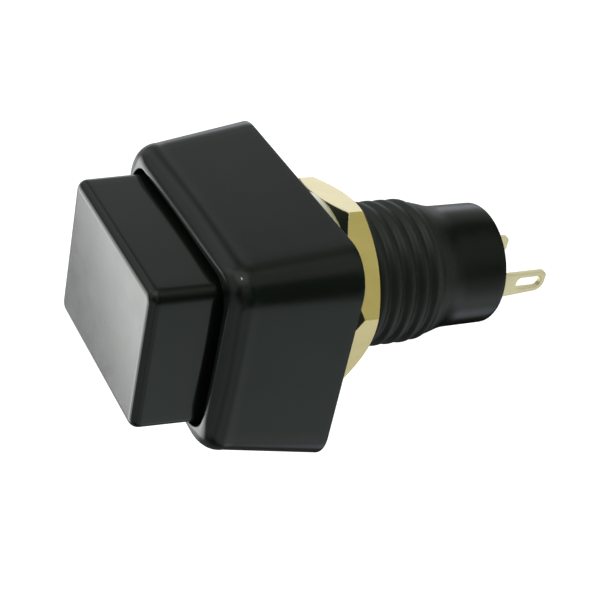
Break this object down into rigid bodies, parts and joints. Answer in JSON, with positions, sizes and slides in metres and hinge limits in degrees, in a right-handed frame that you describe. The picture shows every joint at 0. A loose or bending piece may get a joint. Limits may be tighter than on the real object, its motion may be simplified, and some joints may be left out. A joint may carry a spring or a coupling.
{
  "type": "momentary push button switch",
  "caption": "Panel-mount momentary push button with a rectangular raised cap and surround, threaded bushing with hex nut, round barrel and two slotted solder lugs.",
  "frame": {"origin": "where the thread axis meets the rear face of the bezel, which is the face that sits on the panel", "axes": "+Z points out of the panel toward the finger, X is the long side of the rectangular head, and the two solder lugs stand apart along X"},
  "size_m": [0.0236, 0.0188, 0.0388],
  "materials": {
    "bezel": "moulded glossy black",
    "button_cap": "moulded glossy black",
    "plunger": "natural acetal",
    "threaded_barrel": "moulded satin black",
    "return_spring": "drawn spring wire",
    "contact_spring": "drawn spring wire",
    "contact_bridge": "stamped copper alloy",
    "moving_contact_tips": "silver contact alloy",
    "fixed_contact_tips": "silver contact alloy",
    "bridge_retainer": "turned brass",
    "terminal_left": "pale plated brass strip",
    "terminal_right": "pale plated brass strip",
    "terminal_base": "moulded phenolic",
    "base_seal": "cast black resin",
    "panel_nut": "machined brass, bright chamfers",
    "lock_washer": "plated spring steel"
  },
  "bodies": {
    "housing": {"bezel": "bezel", "threaded_barrel": "threaded_barrel", "return_spring": "return_spring", "terminal_base": "terminal_base", "terminal_left": "terminal_left", "terminal_right": "terminal_right", "fixed_contact_tips": "fixed_contact_tips", "base_seal": "base_seal"},
    "button": {"button_cap": "button_cap", "plunger": "plunger", "bridge_retainer": "bridge_retainer", "contact_spring": "contact_spring"},
    "moving_contact": {"contact_bridge": "contact_bridge", "moving_contact_tips": "moving_contact_tips"},
    "washer": {"lock_washer": "lock_washer"},
    "nut": {"panel_nut": "panel_nut"}
  },
  "joints": [
    {"name": "button_press", "type": "slide", "parent": "housing", "child": "button", "axis": [0, 0, -1], "range_m": [0, 0.003], "stiffness_N_per_m": 430, "springref_m": -0.0028, "deforming": ["return_spring"]},
    {"name": "bridge_travel", "type": "slide", "parent": "button", "child": "moving_contact", "axis": [0, 0, 1], "range_m": [0, 0.0008], "deforming": ["contact_spring"]},
    {"name": "nut_travel", "type": "slide", "parent": "housing", "child": "washer", "axis": [0, 0, 1], "range_m": [-0.006, 0.002]},
    {"name": "nut_turn", "type": "hinge", "parent": "washer", "child": "nut", "pos_m": [0, 0, -0.0039], "axis": [0, 0, 1], "range_deg": [-1720, 570]}
  ],
  "couplings": [
    {"joint": "bridge_travel", "follows": "button_press", "ratio": 0.2666},
    {"joint": "nut_travel", "follows": "nut_turn", "m_per_rad": 0.00019894}
  ]
}
